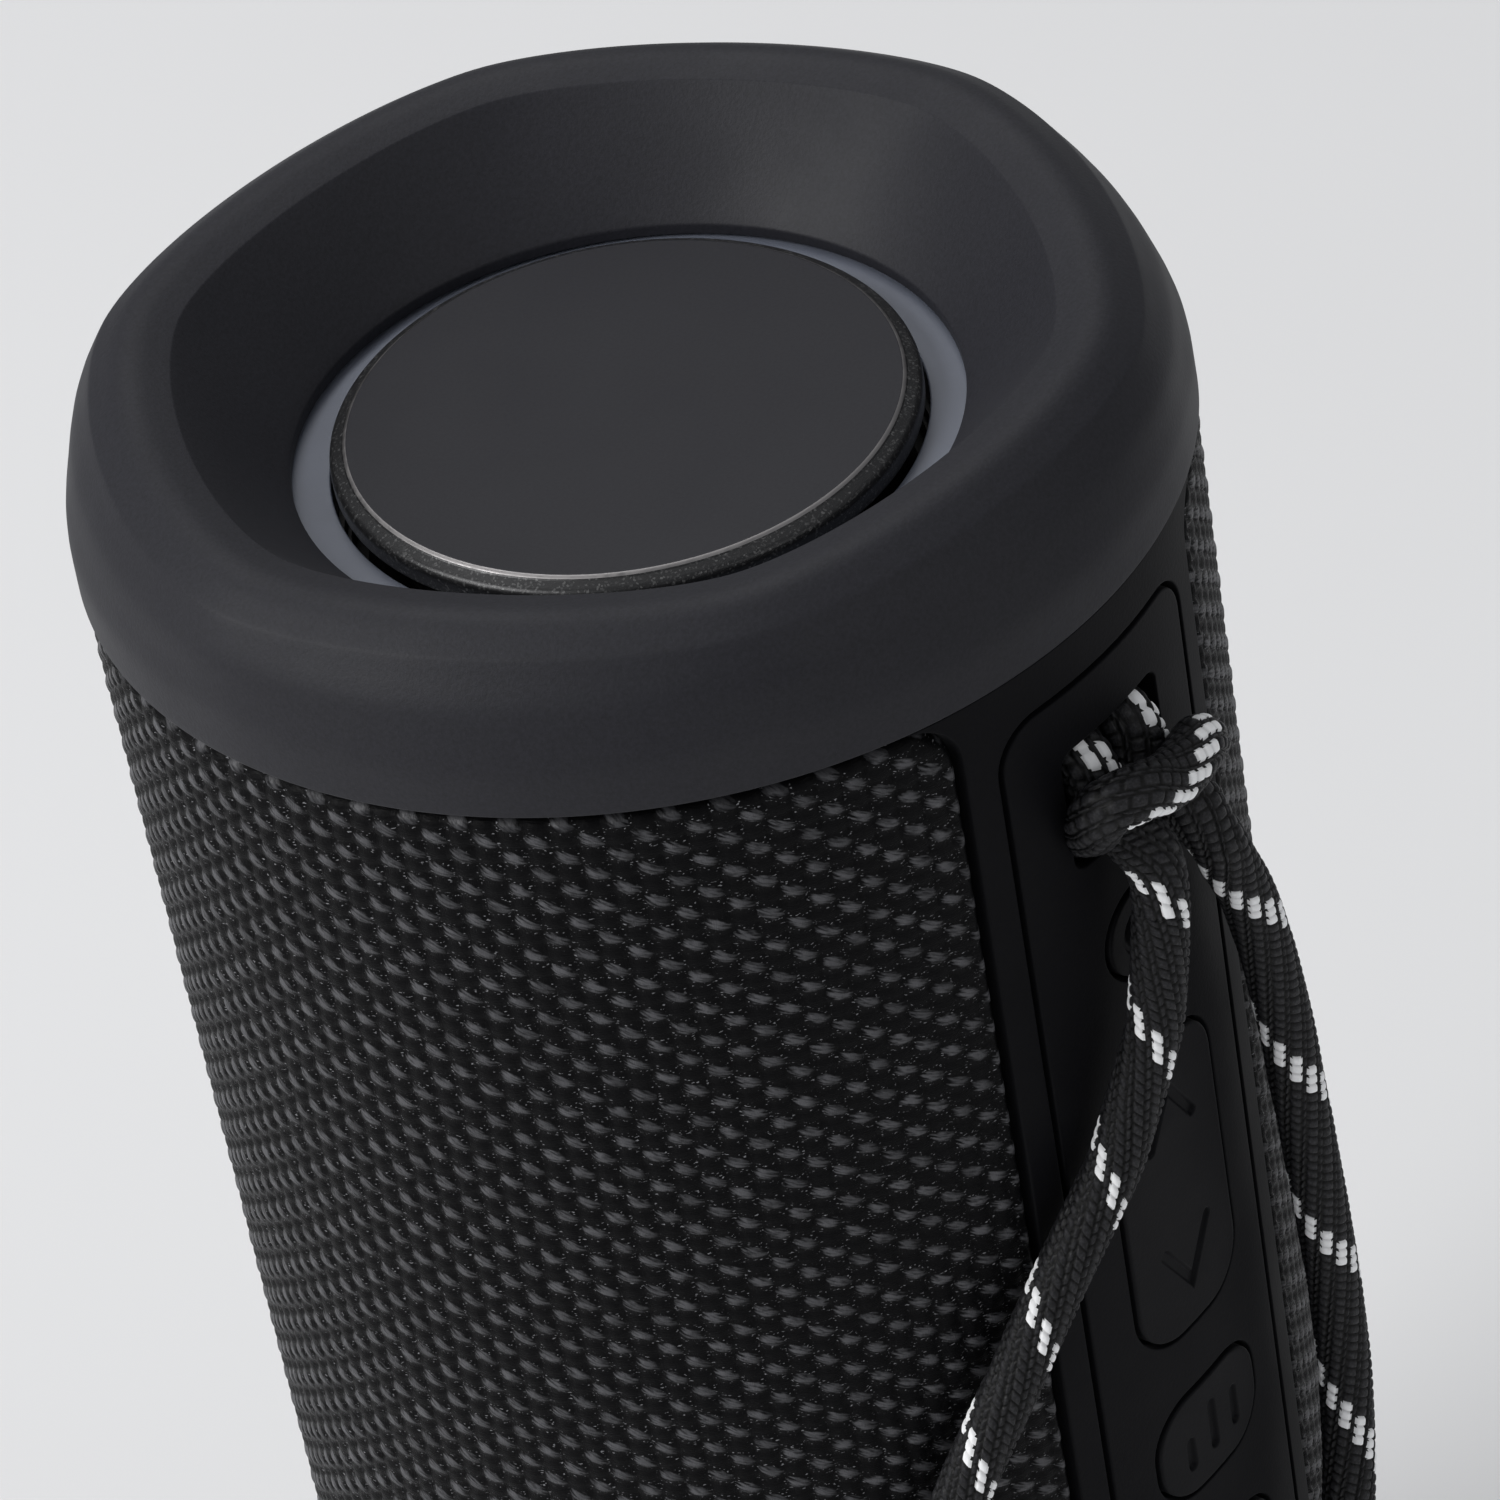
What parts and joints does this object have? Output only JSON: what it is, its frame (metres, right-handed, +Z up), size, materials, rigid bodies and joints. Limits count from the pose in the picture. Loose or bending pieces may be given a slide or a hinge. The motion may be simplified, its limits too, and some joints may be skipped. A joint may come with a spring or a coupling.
{
  "type": "portable shower speaker",
  "caption": "Cylindrical portable speaker: woven cloth sleeve, lobed silicone end caps with recessed radiators and light rings, a button panel and a rope lanyard.",
  "frame": {"origin": "middle of the standing face, in the plane of the lower cap's crest", "axes": "+Z up along the speaker's axis, -Y out through the control panel, +X to the right seen from the panel"},
  "size_m": [0.085, 0.0918, 0.2],
  "materials": {
    "silicone_rubber": "matte, very fine grain",
    "woven_cloth": "coarse basket weave of satiny black cord",
    "braided_rope": "round black braid with a white tracer",
    "satin_disc": "satin face, fine metallic fleck on the rounded edge",
    "light_diffuser": "translucent satin",
    "surround_rubber": "satin",
    "cone_paper": "matte pressed pulp",
    "circuit_board": "solder mask",
    "cell_wrap": "shrink film",
    "steel": "satin",
    "moulded_plastic": "fine spark texture"
  },
  "bodies": {
    "speaker_body": {"battery_cell_1": "cell_wrap", "battery_cell_2": "cell_wrap", "battery_holder": "moulded_plastic", "bottom_cap": "silicone_rubber", "bottom_end_frame": "moulded_plastic", "bottom_frame_screw_1": "steel", "bottom_frame_screw_2": "steel", "bottom_frame_screw_3": "steel", "bottom_light_board": "circuit_board", "bottom_light_ring": "light_diffuser", "bottom_radiator_surround": "surround_rubber", "button_board": "circuit_board", "charge_socket": "steel", "cloth_sleeve": "woven_cloth", "control_pad": "silicone_rubber", "driver_baffle": "moulded_plastic", "driver_grille": "moulded_plastic", "eq_switch": "steel", "housing": "moulded_plastic", "lanyard_cup": "moulded_plastic", "lanyard_hitch": "braided_rope", "lanyard_knot": "braided_rope", "lanyard_pin": "steel", "lanyard_rope_left": "braided_rope", "lanyard_rope_right": "braided_rope", "lower_driver_basket": "moulded_plastic", "lower_driver_magnet": "steel", "lower_driver_surround": "surround_rubber", "main_board": "circuit_board", "pairing_switch": "steel", "panel_frame": "silicone_rubber", "play_switch": "steel", "port_tray": "moulded_plastic", "power_switch": "steel", "status_lens": "light_diffuser", "top_cap": "silicone_rubber", "top_end_frame": "moulded_plastic", "top_frame_screw_1": "steel", "top_frame_screw_2": "steel", "top_frame_screw_3": "steel", "top_light_board": "circuit_board", "top_light_ring": "light_diffuser", "top_radiator_surround": "surround_rubber", "upper_driver_basket": "moulded_plastic", "upper_driver_magnet": "steel", "upper_driver_surround": "surround_rubber", "volume_down_switch": "steel", "volume_up_switch": "steel"},
    "top_radiator": {"top_radiator_disc": "satin_disc", "top_radiator_weight": "steel"},
    "bottom_radiator": {"bottom_radiator_disc": "satin_disc", "bottom_radiator_weight": "steel"},
    "upper_cone": {"upper_driver_cone": "cone_paper"},
    "lower_cone": {"lower_driver_cone": "cone_paper"},
    "power_key": {"power_button": "silicone_rubber"},
    "volume_key": {"volume_rocker": "silicone_rubber"},
    "eq_key": {"eq_button": "silicone_rubber"},
    "play_key": {"play_button": "silicone_rubber"},
    "pairing_key": {"pairing_button": "silicone_rubber"},
    "cover_flap": {"port_cover": "silicone_rubber"}
  },
  "joints": [
    {"name": "top_radiator_slide", "type": "slide", "parent": "speaker_body", "child": "top_radiator", "axis": [0, 0, 1], "range_m": [-0.0015, 0.0015], "stiffness_N_per_m": 3000},
    {"name": "bottom_radiator_slide", "type": "slide", "parent": "speaker_body", "child": "bottom_radiator", "axis": [0, 0, -1], "range_m": [-0.0015, 0.0015], "stiffness_N_per_m": 3000},
    {"name": "upper_cone_slide", "type": "slide", "parent": "speaker_body", "child": "upper_cone", "axis": [-1, 0, 0], "range_m": [-0.0012, 0.0012], "stiffness_N_per_m": 1500},
    {"name": "lower_cone_slide", "type": "slide", "parent": "speaker_body", "child": "lower_cone", "axis": [-1, 0, 0], "range_m": [-0.0012, 0.0012], "stiffness_N_per_m": 1500},
    {"name": "power_press", "type": "slide", "parent": "speaker_body", "child": "power_key", "axis": [0, 1, 0], "range_m": [0, 0.0006], "stiffness_N_per_m": 900},
    {"name": "eq_press", "type": "slide", "parent": "speaker_body", "child": "eq_key", "axis": [0, 1, 0], "range_m": [0, 0.0006], "stiffness_N_per_m": 900},
    {"name": "play_press", "type": "slide", "parent": "speaker_body", "child": "play_key", "axis": [0, 1, 0], "range_m": [0, 0.0006], "stiffness_N_per_m": 900},
    {"name": "pairing_press", "type": "slide", "parent": "speaker_body", "child": "pairing_key", "axis": [0, 1, 0], "range_m": [0, 0.0006], "stiffness_N_per_m": 900},
    {"name": "volume_rock", "type": "hinge", "parent": "speaker_body", "child": "volume_key", "pos_m": [0, -0.0396, 0.131], "axis": [1, 0, 0], "range_deg": [-2.5, 2.5], "stiffness_Nm_per_rad": 0.12},
    {"name": "port_cover_hinge", "type": "hinge", "parent": "speaker_body", "child": "cover_flap", "pos_m": [-0.0055, -0.04095, 0.039], "axis": [0, 0, -1], "range_deg": [0, 95]}
  ]
}
